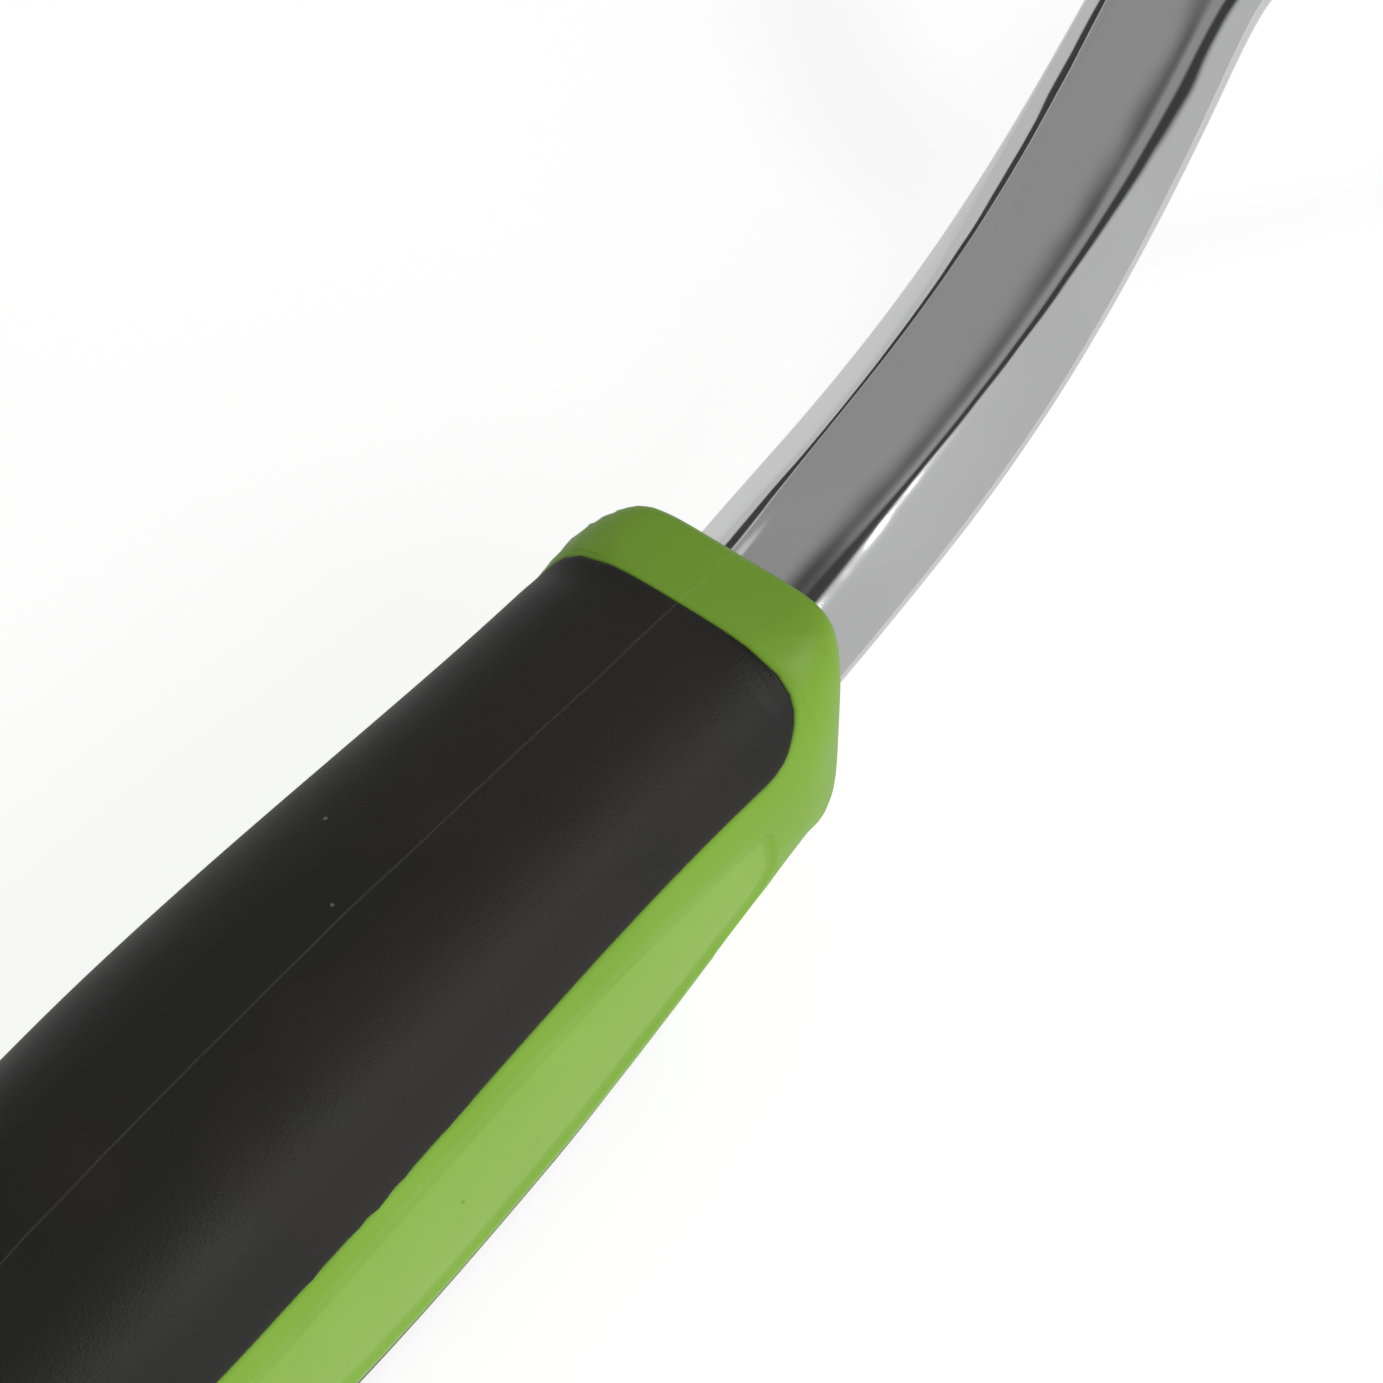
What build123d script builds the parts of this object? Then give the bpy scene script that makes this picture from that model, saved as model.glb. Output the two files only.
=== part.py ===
from build123d import *
import copy
import math
import os

os.makedirs("parts", exist_ok=True)

# Hand cultivator: one polished casting (neck, three tines and tang) with a two-colour moulded grip.
# While it is drawn, X = 0 is where the neck leaves the grip, +X points to the tines, +Z is up and Z = 0
# is the middle of the grip. At the end everything is moved so that the origin is under its middle.

# ---- grip sizes ----
grip_length = 128.0          # drawing zero to rear end
rim_at = 2.0                 # rim behind the drawing zero, on the grip axis
collar_half_width = 15.35    # just behind the rim
palm_half_width = 18.2       # widest place
tail_half_width = 13.6       # near the hang hole
collar_rise = 10.2           # grip above the axis at the rim
palm_rise = 15.4
tail_rise = 11.6
collar_depth = 6.8           # grip below the axis at the rim
palm_depth = 18.0
tail_depth = 11.8
palm_at = 72.0               # distance of the palm swell behind the drawing zero
rim_lean = 0.25              # the top of the rim leads by this much per mm of height
rim_setback = 8.3            # how far the sides round in at the rim
rim_round_length = 11.0
rim_top_setback = 4.4
rim_top_round_length = 2.0
rim_bottom_setback = 4.0
rim_bottom_round_length = 14.0
top_squareness = 2.6         # superellipse power of the sections above the axis
bottom_squareness = 2.2
rim_squareness = 4.0         # added to the powers at the rim, fading over the next length
rim_square_length = 10.0
tail_round_length = 13.0

# ---- soft pads ----
pad_thickness = 2.4
top_pad_front = 9.5          # behind the drawing zero
top_pad_rear = 104.0
top_pad_edge_front = 5.3     # height of its side edge near the rim
top_pad_edge_middle = 8.5
top_pad_edge_rear = 6.4
top_pad_corner = 5.6
finger_pad_front = 24.0
finger_pad_rear = 100.0
finger_pad_edge = -10.4
finger_pad_corner = 4.4

# ---- hang hole ----
hang_hole_radius = 4.0
hang_hole_from_end = 13.0

# ---- casting ----
neck_top_half_width = 4.5
neck_half_width = 9.5
neck_thickness = 8.2
neck_bevel_drop = 4.2
neck_top_at_rim = 4.4        # height of the flat top above the grip axis
neck_pitch = 7.0             # degrees at the rim
shoulder_pitch = 38.0        # steepest climb
shoulder_length = 68.0       # path length from the rim to the steepest climb
arch_length = 102.0          # path length of the arch over to the tips
tip_pitch = -86.0
tine_spread = 37.0           # side tine to centre line
side_tine_setback = 10.0
tine_half_width = 4.7
tine_top_half_width = 2.6
tine_thickness = 6.4
tip_half_width = 0.9
tip_thickness = 1.5
bend_radius = 1.1            # rounding of the long edges
tang_length = 74.0
tang_half_width = 5.0
tang_thickness = 6.0


def ease(t):
    """Smooth step from 0 to 1 with level ends."""
    t = min(max(t, 0.0), 1.0)
    return t * t * (3.0 - 2.0 * t)


def swell(t):
    """Quarter sine from 0 to 1."""
    return math.sin(math.pi / 2 * min(max(t, 0.0), 1.0))


def set_in(distance, length, depth):
    """Quarter-ellipse rounding: depth at distance 0, nothing from length onwards."""
    t = min(max(1.0 - distance / length, 0.0), 1.0)
    return depth * (1.0 - math.sqrt(1.0 - t * t))


# ---- the outside of the grip ----
def grip_sizes(d):
    """Half width, rise and depth of the grip at distance d, before the ends are rounded."""
    tail = ease((d - palm_at - 2) / (grip_length - palm_at + 8))
    half_width = collar_half_width + (palm_half_width - collar_half_width) * ease((d - 8) / 60)
    half_width -= (palm_half_width - tail_half_width) * tail
    rise = collar_rise + (palm_rise - collar_rise) * swell(d / palm_at) - (palm_rise - tail_rise) * tail
    depth = collar_depth + (palm_depth - collar_depth) * swell(d / 45) - (palm_depth - tail_depth) * tail
    return half_width, rise, depth


def grip_wire(d, shrink):
    """Closed curve around the grip at distance d behind the drawing zero, moved inwards by shrink."""
    half_width, rise, depth = grip_sizes(d)
    behind = d - rim_at
    half_width -= set_in(behind, rim_round_length, rim_setback) + shrink
    rise -= set_in(behind, rim_top_round_length, rim_top_setback) + shrink
    depth -= set_in(behind, rim_bottom_round_length, rim_bottom_setback) + shrink
    scale = 1.0 - set_in(grip_length - d, tail_round_length, 0.9)
    square = rim_squareness * (1 - ease(behind / rim_square_length))
    lean = rim_lean * (1 - ease(behind / 20))
    points = []
    for i in range(48):
        angle = 2 * math.pi * i / 48
        above = math.sin(angle) > 0
        power = (top_squareness if above else bottom_squareness) + square
        across = abs(math.cos(angle)) / half_width
        upright = abs(math.sin(angle)) / (rise if above else depth)
        radius = scale * (across ** power + upright ** power) ** (-1 / power)
        z = radius * math.sin(angle)
        points.append((lean * z - d, radius * math.cos(angle), z))
    return Wire([Edge.make_spline([Vector(*p) for p in points], periodic=True)])


def grip_body(start, end, shrink):
    """Solid of the grip between two distances behind the drawing zero."""
    front = [rim_at + rim_round_length * (1 - math.cos(math.pi / 2 * k / 7)) for k in range(8)]
    middle = [rim_at + rim_round_length + 9 * k for k in range(1, 12)]
    rear = [grip_length - tail_round_length * (1 - math.sin(math.pi / 2 * k / 6)) for k in range(7)]
    stations = [d for d in front + middle + rear if start + 0.5 < d < end - 0.5]
    spaced = [start]
    for d in stations + [end]:
        if d - spaced[-1] > 0.3:
            spaced.append(d)
    return Solid.make_loft([grip_wire(d, shrink) for d in spaced])


# ---- the casting ----
tip_level = -palm_depth + tip_thickness * math.cos(math.radians(tip_pitch))


def centre_path():
    """Points every millimetre along the flat top of neck and centre tine, with the pitch there."""
    points = [(0.0, neck_top_at_rim, neck_pitch)]
    length = 0.0
    while points[-1][1] > tip_level or length < shoulder_length + arch_length / 2:
        length += 1.0
        x, z, _ = points[-1]
        climb = ease((length - 10) / (shoulder_length - 10))
        fall = ease((length - shoulder_length) / arch_length)
        pitch = neck_pitch + (shoulder_pitch - neck_pitch) * climb - (shoulder_pitch - tip_pitch) * fall
        angle = math.radians(pitch)
        points.append((x + math.cos(angle), z + math.sin(angle), pitch))
    return points


PATH = centre_path()
path_length = len(PATH) - 2 + (PATH[-2][1] - tip_level) / (PATH[-2][1] - PATH[-1][1])


def path_at(length, side):
    """Point of the tine's top line; side is 0 for the centre tine, +1 or -1 for the outer ones."""
    step = min(max(int(length), 0), len(PATH) - 2)
    t = length - step
    x = PATH[step][0] * (1 - t) + PATH[step + 1][0] * t
    z = PATH[step][1] * (1 - t) + PATH[step + 1][1] * t
    y = side * tine_spread * ease((length - 50) / 74)
    back = abs(side) * side_tine_setback * ease((length - 60) / 90)
    return Vector(x - back, y, z - 0.35 * abs(side) * (1 - ease((length - 60) / 20)))


def tine_sizes(length):
    """Top half width, half width, bevel drop and thickness of the bar at a path length."""
    tine = ease((length - 52) / 70)
    tip = max(0.0, (length - path_length + 34) / 34) ** 1.5
    top = neck_top_half_width + (tine_top_half_width - neck_top_half_width) * tine
    wide = neck_half_width - 2.2 * ease(length / 75) + (tine_half_width - neck_half_width + 2.2) * tine
    drop = neck_bevel_drop - (neck_bevel_drop - 1.5) * ease((length - 14) / 44)
    thick = neck_thickness + (tine_thickness - neck_thickness) * ease((length - 10) / 110)
    point = tip_half_width / tine_half_width
    scale = 1 - (1 - point) * tip
    return top * scale, wide * scale, drop * scale, thick + (tip_thickness - thick) * tip


def rounded_wire(plane, corners, radius):
    """Closed wire through the corners with every corner rounded."""
    edges = []
    count = len(corners)
    arcs = []
    for i, corner in enumerate(corners):
        before = Vector(*corners[i - 1]) - Vector(*corner)
        after = Vector(*corners[(i + 1) % count]) - Vector(*corner)
        half = before.get_angle(after) / 2
        r = radius[i]
        reach = r / math.tan(math.radians(half))
        middle = (before.normalized() + after.normalized()).normalized()
        centre = Vector(*corner) + middle * (r / math.sin(math.radians(half)))
        start = Vector(*corner) + before.normalized() * reach
        end = Vector(*corner) + after.normalized() * reach
        arcs.append((start, centre - middle * r, end))
    for i, (start, middle, end) in enumerate(arcs):
        placed = [plane.from_local_coords(p) for p in (start, middle, end)]
        edges.append(Edge.make_three_point_arc(*placed))
        edges.append(Edge.make_line(placed[2], plane.from_local_coords(arcs[(i + 1) % count][0])))
    return Wire(edges)


def bar_wire(length, side, slim):
    """Bevelled bar section across the path."""
    here = path_at(length, side)
    forward = (path_at(length + 0.5, side) - path_at(length - 0.5, side)).normalized()
    pitch = math.radians(PATH[min(max(round(length), 0), len(PATH) - 1)][2])
    up = Vector(-math.sin(pitch), 0, math.cos(pitch))
    left = up.cross(forward).normalized()
    plane = Plane(origin=here, x_dir=left, z_dir=forward)
    top, wide, drop, thick = tine_sizes(length)
    top *= slim
    wide *= slim
    foot = wide * 0.66
    corners = [(top, 0), (wide, -drop), (foot, -thick), (-foot, -thick), (-wide, -drop), (-top, 0)]
    r = min(bend_radius, top * 0.45)
    return rounded_wire(plane, corners, [r, r, 1.6 * r, 1.6 * r, r, r])


def bar(start, end, side, slim, step):
    """Solid of the bar between two path lengths."""
    count = max(2, round((end - start) / step))
    lengths = [start + (end - start) * k / count for k in range(count + 1)]
    return Solid.make_loft([bar_wire(length, side, slim) for length in lengths])


def tang():
    """Tapered bar inside the grip, running back from the neck."""
    front = Plane(origin=(-3, 0, neck_top_at_rim - neck_thickness / 2 - 0.4), z_dir=(-1, 0, 0))
    rear = Plane(origin=(-tang_length, 0, 0), z_dir=(-1, 0, 0))
    wide = front * RectangleRounded(tang_thickness, 2.6 * tang_half_width, 1.5)
    narrow = rear * RectangleRounded(tang_thickness * 0.7, 1.4 * tang_half_width, 1.2)
    return loft([wide, narrow])


def side_outline(corners, middle, corner_radius):
    """Prism across the grip whose side view is a pad outline with one bowed long edge."""
    front_top, front_edge, rear_edge, rear_top = corners
    bowed = ThreePointArc(front_edge, middle, rear_edge)
    outline = make_face([Line(front_top, front_edge), bowed, Line(rear_edge, rear_top),
                         Line(rear_top, front_top)])
    turned = [v for v in outline.vertices() if abs(v.Y) < 20]
    outline = fillet(turned, corner_radius)
    return extrude(Plane.XZ * outline, amount=30, both=True)


def hang_hole_tool(x):
    """Upright hole with flared mouths."""
    flare = 2.5
    top = grip_sizes(-x)[1] - flare
    bottom = flare - grip_sizes(-x)[2]
    wide = hang_hole_radius + flare
    profile = make_face([
        Line((0, bottom - 10), (wide, bottom - 10)),
        Line((wide, bottom - 10), (wide, bottom - flare)),
        RadiusArc((wide, bottom - flare), (hang_hole_radius, bottom), flare),
        Line((hang_hole_radius, bottom), (hang_hole_radius, top)),
        RadiusArc((hang_hole_radius, top), (wide, top + flare), flare),
        Line((wide, top + flare), (wide, top + 10)),
        Line((wide, top + 10), (0, top + 10)),
        Line((0, top + 10), (0, bottom - 10)),
    ])
    return Pos(x, 0, 0) * revolve(Plane.XZ * profile, Axis.Z)


# the casting
neck_root = 8.0
centre_tine = bar(-neck_root, path_length, 0, 1.0, 7.0)
left_tine = bar(46, path_length, 1, 0.97, 6.0)
right_tine = bar(46, path_length, -1, 0.97, 6.0)
head_casting = centre_tine.fuse(left_tine).fuse(right_tine).fuse(tang())

# the grip
outside = grip_body(rim_at, grip_length - 0.05, 0)
under_pads = grip_body(rim_at + 3, grip_length - 6, pad_thickness)
skin = outside - under_pads
top_prism = side_outline(
    [(-top_pad_front, 30), (-top_pad_front, top_pad_edge_front),
     (-top_pad_rear, top_pad_edge_rear), (-top_pad_rear, 30)],
    (-palm_at + 15, top_pad_edge_middle), top_pad_corner)
finger_prism = side_outline(
    [(-finger_pad_front, -30), (-finger_pad_front, finger_pad_edge),
     (-finger_pad_rear, finger_pad_edge + 1.4), (-finger_pad_rear, -30)],
    (-palm_at + 8, finger_pad_edge + 0.6), finger_pad_corner)
grip_top_pad = skin & top_prism
grip_finger_pad = skin & finger_prism
hole_x = hang_hole_from_end - grip_length
handle_core = outside - grip_top_pad - grip_finger_pad - head_casting - hang_hole_tool(hole_x)

parts = {
    "tine_head_casting": head_casting,
    "handle_core": handle_core,
    "grip_top_pad": grip_top_pad,
    "grip_finger_pad": grip_finger_pad,
}
whole = Compound(children=[copy.copy(shape) for shape in parts.values()]).bounding_box()
move = Pos(-(whole.min.X + whole.max.X) / 2, -(whole.min.Y + whole.max.Y) / 2, -whole.min.Z)
for name, shape in parts.items():
    export_step(move * shape, f"parts/{name}.step")
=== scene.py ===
# %% [markdown]
# # A hand cultivator
# The tool has four physical pieces: a polished casting with neck, palm, three tines and a tang,
# a hard green grip moulded round the tang, and two soft black pads moulded into pockets of the grip.
# Every shape below is a formula, worked out with numpy on a grid in millimetres, and put into a mesh.
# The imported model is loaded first, because it fixes where everything is.

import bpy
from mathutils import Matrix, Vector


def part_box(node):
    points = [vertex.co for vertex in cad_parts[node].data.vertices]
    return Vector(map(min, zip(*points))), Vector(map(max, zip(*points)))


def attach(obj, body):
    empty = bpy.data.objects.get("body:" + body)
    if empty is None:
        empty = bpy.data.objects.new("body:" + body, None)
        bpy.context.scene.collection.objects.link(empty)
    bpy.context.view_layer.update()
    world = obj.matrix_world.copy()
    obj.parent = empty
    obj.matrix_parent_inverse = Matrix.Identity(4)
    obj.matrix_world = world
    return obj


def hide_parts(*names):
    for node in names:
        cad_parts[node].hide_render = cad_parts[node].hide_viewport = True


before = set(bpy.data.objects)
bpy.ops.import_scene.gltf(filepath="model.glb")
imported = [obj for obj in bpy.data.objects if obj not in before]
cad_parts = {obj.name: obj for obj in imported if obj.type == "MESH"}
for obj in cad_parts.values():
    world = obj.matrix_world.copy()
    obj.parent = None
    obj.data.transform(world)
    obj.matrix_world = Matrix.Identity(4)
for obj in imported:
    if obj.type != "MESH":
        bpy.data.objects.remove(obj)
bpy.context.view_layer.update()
print("nodes:", sorted(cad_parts))

# %% Libraries
import math

import bmesh
import bpy
import numpy as np
from mathutils import Matrix, Vector

MM = 0.001

# %% [markdown]
# ## Where the drawing sits
# The grip is drawn with x = 0 at its front, z = 0 on its middle line and +x towards the tines.
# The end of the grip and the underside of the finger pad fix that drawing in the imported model.
# Only its place comes from there: the sizes below are written out again and have to be changed too.

# %% Origin of the drawing
GRIP_LENGTH = 128.0
rear_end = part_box("handle_core")[0].x
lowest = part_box("grip_finger_pad")[0].z
origin = np.array([rear_end / MM + 127.95, 0.0, lowest / MM + 18.013])
print("drawing origin in mm:", origin.round(3))


def to_model(points):
    """Drawing millimetres to model metres: the point plus the origin, times a thousandth."""
    return (np.asarray(points, float) + origin) * MM


# %% [markdown]
# ## Camera
# The tool is seen from above, from behind and from its right side, rolled so that it runs from the
# lower left to the upper right. A long lens keeps its lines almost parallel. The view axis is given
# by two angles and a roll, and a small shift puts the collar where it belongs in the picture.

# %% Camera
TILT = math.radians(30)
TURN = math.radians(23)
ROLL = math.radians(46)
DISTANCE = 0.600
toward = Vector((-math.sin(TURN), -math.cos(TURN) * math.sin(TILT), math.cos(TURN) * math.cos(TILT)))
along = (Vector((1, 0, 0)) - toward * toward.x).normalized()
across = toward.cross(along)
right = along * math.cos(ROLL) - across * math.sin(ROLL)
above = along * math.sin(ROLL) + across * math.cos(ROLL)
target = Vector(to_model([-5.5, 0.0, 3.75]))

camera_data = bpy.data.cameras.new("camera")
camera_data.sensor_width = 36
camera_data.lens = 195.2
camera_data.shift_x = -0.0119
camera_data.shift_y = -0.0372
camera_data.clip_start = 0.01
camera_data.clip_end = 20
camera = bpy.data.objects.new("camera", camera_data)
turned = Matrix((right, above, toward)).transposed().to_4x4()
turned.translation = target + toward * DISTANCE
camera.matrix_world = turned
bpy.context.scene.collection.objects.link(camera)
bpy.context.scene.camera = camera
bpy.context.scene.view_settings.view_transform = "Standard"
print("camera at", [round(v, 4) for v in camera.location])

# %% [markdown]
# ## Small curve helpers
# Three one-line curves shape nearly everything: a smooth step, a quarter sine and a rounded end.

# %% Curves


def ease(t):
    """Smooth step: t squared times (3 - 2 t), with t kept between 0 and 1."""
    t = np.clip(t, 0.0, 1.0)
    return t * t * (3.0 - 2.0 * t)


def swell(t):
    """Quarter sine: sin(90 degrees times t), with t kept between 0 and 1."""
    return np.sin(np.pi / 2 * np.clip(t, 0.0, 1.0))


def set_in(distance, length, depth):
    """Quarter ellipse: depth at distance 0, falling to nothing at the given length."""
    t = np.clip(1.0 - distance / length, 0.0, 1.0)
    return depth * (1.0 - np.sqrt(np.maximum(1.0 - t * t, 0.0)))


# %% [markdown]
# ## The outside of the grip
# A grip is drawn by a designer as cross-sections along its length. Here each section is a
# superellipse, a rounded box between an ellipse and a rectangle, whose width, height above and depth
# below the middle line change smoothly from the collar over the palm to the tail. The rim leans
# forward at its top. Every piece of the grip is a part of this one surface, or lies a little under it.

# %% Grip surface
RIM = 2.0
TAIL_END = GRIP_LENGTH - 0.25
TAIL_ROUNDING = 13.0
LEAN_LENGTH = 20.0
CORE_INSET = 0.10


def grip_sizes(d):
    """Half width, rise and depth at distance d: smooth steps from collar to palm and palm to tail."""
    tail = ease((d - 74) / 64)
    half = 15.35 + 2.85 * ease((d - 8) / 60) - 4.6 * tail
    rise = 10.2 + 5.2 * swell(d / 72) - 3.8 * tail
    depth = 6.8 + 11.2 * swell(d / 45) - 6.2 * tail
    return half, rise, depth


def grip_shape(d, up, sunk):
    """Half width and height of the section above or below the line, with both ends rounded."""
    half, rise, depth = grip_sizes(d)
    behind = d - RIM
    half = half - set_in(behind, 11.0, 8.3) - sunk
    rise = rise - set_in(behind, 2.0, 4.4) - sunk
    depth = depth - set_in(behind, 14.0, 4.0) - sunk
    nose = 1 - ease(behind / 10)
    power = np.where(up, 2.6 + 4.0 * nose, 2.2 + 3.4 * nose)
    tail = 1.0 - set_in(GRIP_LENGTH - d, TAIL_ROUNDING, 0.9)
    return half * tail, np.where(up, rise, depth) * tail, power


def grip_surface(d, angle, sunk=0.0):
    """Point at distance d and direction angle: radius = (|cos/half|^n + |sin/height|^n)^(-1/n)."""
    d, angle, sunk = np.broadcast_arrays(*(np.asarray(v, float) for v in (d, angle, sunk)))
    c, s = np.cos(angle), np.sin(angle)
    half, height, n = grip_shape(d, s > 0, sunk)
    radius = (np.abs(c / half) ** n + np.abs(s / height) ** n) ** (-1 / n)
    y, z = radius * c, radius * s
    lean = 0.25 * (1 - ease((d - RIM) / LEAN_LENGTH))
    return np.stack([lean * z - d, y, z], -1)


def angle_at(d, z):
    """Direction on the left side where the section reaches height z: y = half (1 - |z/height|^n)^(1/n)."""
    half, height, n = grip_shape(d, z > 0, 0.0)
    y = half * np.maximum(1 - np.abs(z / height) ** n, 1e-6) ** (1 / n)
    return np.arctan2(z, y)


print("palm width", 2 * grip_sizes(72.0)[0].round(2), "mm")

# %% [markdown]
# ## Windows in the grip
# Two pads and two scooped finger panels are let into the grip. Each is a rounded rectangle on the
# surface, given by its front, its rear and the height of its long edges. The same rectangle, moved
# in or out a little, gives the pocket in the hard plastic, its rounded lip, and the pad that fills
# it, so that everything meets along one line.

# %% Outlines of the windows


def corner(d, front, rear, radius):
    """How far a rounded corner cuts in at d: radius minus the height of its circle."""
    gap = np.minimum(d - front, rear - d)
    t = np.clip(1 - gap / np.maximum(radius, 1e-6), 0, 1)
    return radius * (1 - np.sqrt(np.maximum(1 - t * t, 0)))


def bow(d, front, rear, start, middle, end):
    """Parabola through three heights at front, half way and rear."""
    t = (d - front) / (rear - front)
    return start * (1 - t) * (1 - 2 * t) + 4 * middle * t * (1 - t) + end * t * (2 * t - 1)


WINDOWS = {
    "top": dict(front=9.5, rear=104.0, radius=5.6),
    "scoop": dict(front=16.2, rear=97.0, radius=3.4),
    "finger": dict(front=24.0, rear=100.0, radius=4.4),
}


def edge_angles(d, grow):
    """Directions of the four long edges at d, each window moved outwards by grow."""
    out = []
    for name, sign, heights in (
        ("top", 1, (5.3, 8.5, 6.4)),
        ("scoop", -1, (2.2, 6.7, 3.0)),
        ("scoop", 1, (-4.6, -6.9, -4.6)),
        ("finger", -1, (-10.4, -9.9, -9.0)),
    ):
        w = WINDOWS[name]
        front, rear = w["front"] - grow, w["rear"] + grow
        inside = np.clip(d, front, rear)
        radius = (w["radius"] if (name, sign) != ("scoop", -1) else 0.9) + grow
        z = bow(inside, w["front"], w["rear"], *heights) - sign * grow
        z = z + sign * corner(inside, front, rear, radius)
        out.append(angle_at(inside, z))
    rest = np.radians([38.0, 12.0, -17.0, -42.0])
    fronts = [WINDOWS[k]["front"] - grow for k in ("top", "scoop", "scoop", "finger")]
    rears = [WINDOWS[k]["rear"] + grow for k in ("top", "scoop", "scoop", "finger")]
    for k in range(4):
        away = np.maximum((fronts[k] - d) / (fronts[k] - RIM), (d - rears[k]) / (GRIP_LENGTH - rears[k]))
        out[k] = out[k] + (rest[k] - out[k]) * ease(away * 1.3)
    return out


# %% [markdown]
# ## Patchwork meshes
# A piece is laid out as several grids and rings that share their edge points. They are collected,
# coincident points are welded, and the faces are turned outwards. Shared edge points come from the
# same formula, so the weld leaves no gap.

# %% Patchwork


class Patchwork:
    """Collects point grids and rings, then welds them into one mesh."""

    def __init__(self):
        self.points, self.faces, self.marks, self.count = [], [], [], 0

    def _keep(self, points, quads, mark):
        self.points.append(points.reshape(-1, 3))
        self.faces.append(quads.reshape(-1, 4) + self.count)
        self.marks.append(np.full(points.size // 3, float(mark)))
        self.count += points.size // 3

    def grid(self, points, skip=None, mark=0.0):
        """Quads between neighbouring points of an r by c grid, without the cells where skip is true."""
        r, c = points.shape[:2]
        at = np.arange(r * c).reshape(r, c)
        quads = np.stack([at[:-1, :-1], at[:-1, 1:], at[1:, 1:], at[1:, :-1]], -1)
        self._keep(points, quads if skip is None else quads[~skip], mark)

    def rings(self, rings, mark=0.0):
        """Quads between closed rings of equally many points, each ring joined to the next."""
        rings = np.stack(rings)
        self.grid(np.concatenate([rings, rings[:, :1]], 1), mark=mark)

    def mesh(self, name, facing=True):
        """Welds points closer than a ten-thousandth of a millimetre and drops faces that lose an edge."""
        points = np.concatenate(self.points)
        quads = np.concatenate(self.faces)
        key = np.round(points * 1e4).astype(np.int64)
        _, first, welded = np.unique(key, axis=0, return_index=True, return_inverse=True)
        quads = welded.reshape(-1)[quads]
        same = quads == np.roll(quads, -1, axis=1)
        quads = quads[same.sum(1) < 2]
        same = same[same.sum(1) < 2]
        used, quads = np.unique(quads, return_inverse=True)
        quads = quads.reshape(-1, 4)
        faces = [[v for k, v in enumerate(q) if not s[k]] for q, s in zip(quads.tolist(), same.tolist())]
        mesh = bpy.data.meshes.new(name)
        mesh.from_pydata(to_model(points[first[used]]).tolist(), [], faces)
        mark = mesh.attributes.new("panel", "FLOAT", "POINT")
        mark.data.foreach_set("value", np.concatenate(self.marks)[first[used]].astype(np.float32))
        if facing:
            turn_outwards(mesh)
        mesh.polygons.foreach_set("use_smooth", np.ones(len(mesh.polygons), bool))
        return mesh


def turn_outwards(mesh):
    """Recalculates the face directions of a closed mesh and reports edges that are not shared by two."""
    work = bmesh.new()
    work.from_mesh(mesh)
    bmesh.ops.recalc_face_normals(work, faces=work.faces)
    volume = work.calc_volume(signed=True)
    if volume < 0:
        bmesh.ops.reverse_faces(work, faces=work.faces)
    loose = sum(len(e.link_faces) != 2 for e in work.edges)
    work.to_mesh(mesh)
    work.free()
    print(f"{mesh.name}: {len(mesh.polygons)} faces, {loose} open edges, {abs(volume) * 1e6:.1f} ml")


def show(mesh, material, node):
    """Puts a mesh into the scene in place of its CAD node, on the one rigid body of the tool."""
    piece = bpy.data.objects.new(mesh.name, mesh)
    bpy.context.scene.collection.objects.link(piece)
    mesh.materials.append(material)
    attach(piece, "root")
    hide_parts(node)
    return piece


# %% [markdown]
# ## The grid of the grip
# Stations run from the rim to the tail and columns run round the section. Both are placed so that
# the outlines of all windows fall on grid lines, closer together where a corner turns.

# %% Stations and columns
LIP = 0.35
SPACING = 1.1
COUNTS = (72, 6, 22, 6, 60, 6, 22, 6)
STARTS = np.concatenate([[0], np.cumsum(COUNTS)])
BAND = {"top": (0,), "scoop": (2, 6), "finger": (4,)}


def stations():
    """Distances behind the drawing zero: dense at ends and window corners, else about 1.1 mm apart."""
    turn = 1 - np.cos(np.linspace(0, np.pi / 2, 10))
    collar_turn = 1 - np.cos(np.linspace(0, np.pi / 2, 22))
    tail_turn = 1 - np.cos(np.linspace(0, np.pi / 2, 18))
    fixed = [RIM, TAIL_END]
    wanted = [RIM + 10.25 * collar_turn, TAIL_END - TAIL_ROUNDING * tail_turn]
    for w in WINDOWS.values():
        fixed += [w["front"] - LIP, w["rear"] + LIP]
        wanted += [w["front"] - LIP + w["radius"] * turn, w["rear"] + LIP - w["radius"] * turn]
    wanted = [d for part in wanted for d in part]
    chosen = sorted(fixed)
    for d in wanted:
        if min(abs(d - c) for c in chosen) > 0.06:
            chosen.append(d)
    for d in np.arange(12.5, 116, SPACING):
        if min(abs(d - c) for c in chosen) > 0.5:
            chosen.append(d)
    return np.array(sorted(chosen))


STATIONS = stations()


def column_angles(d, grow):
    """Directions of all columns: each band between two neighbouring edges is divided evenly."""
    a, b, c, e = edge_angles(d, grow)
    half, full = np.pi, 2 * np.pi
    bounds = [a, half - a, half - b, half - c, half - e, full + e, full + c, full + b, full + a]
    columns = [
        bounds[k][:, None] + (bounds[k + 1] - bounds[k])[:, None] * np.arange(n) / n
        for k, n in enumerate(COUNTS)
    ]
    return np.concatenate(columns + [bounds[-1][:, None]], 1)


def window_cells(name, band):
    """First and last station and column of a window in the grid of the grip."""
    w = WINDOWS[name]
    rows = [int(np.argmin(abs(STATIONS - v))) for v in (w["front"] - LIP, w["rear"] + LIP)]
    return rows[0], rows[1], STARTS[band], STARTS[band + 1]


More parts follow.
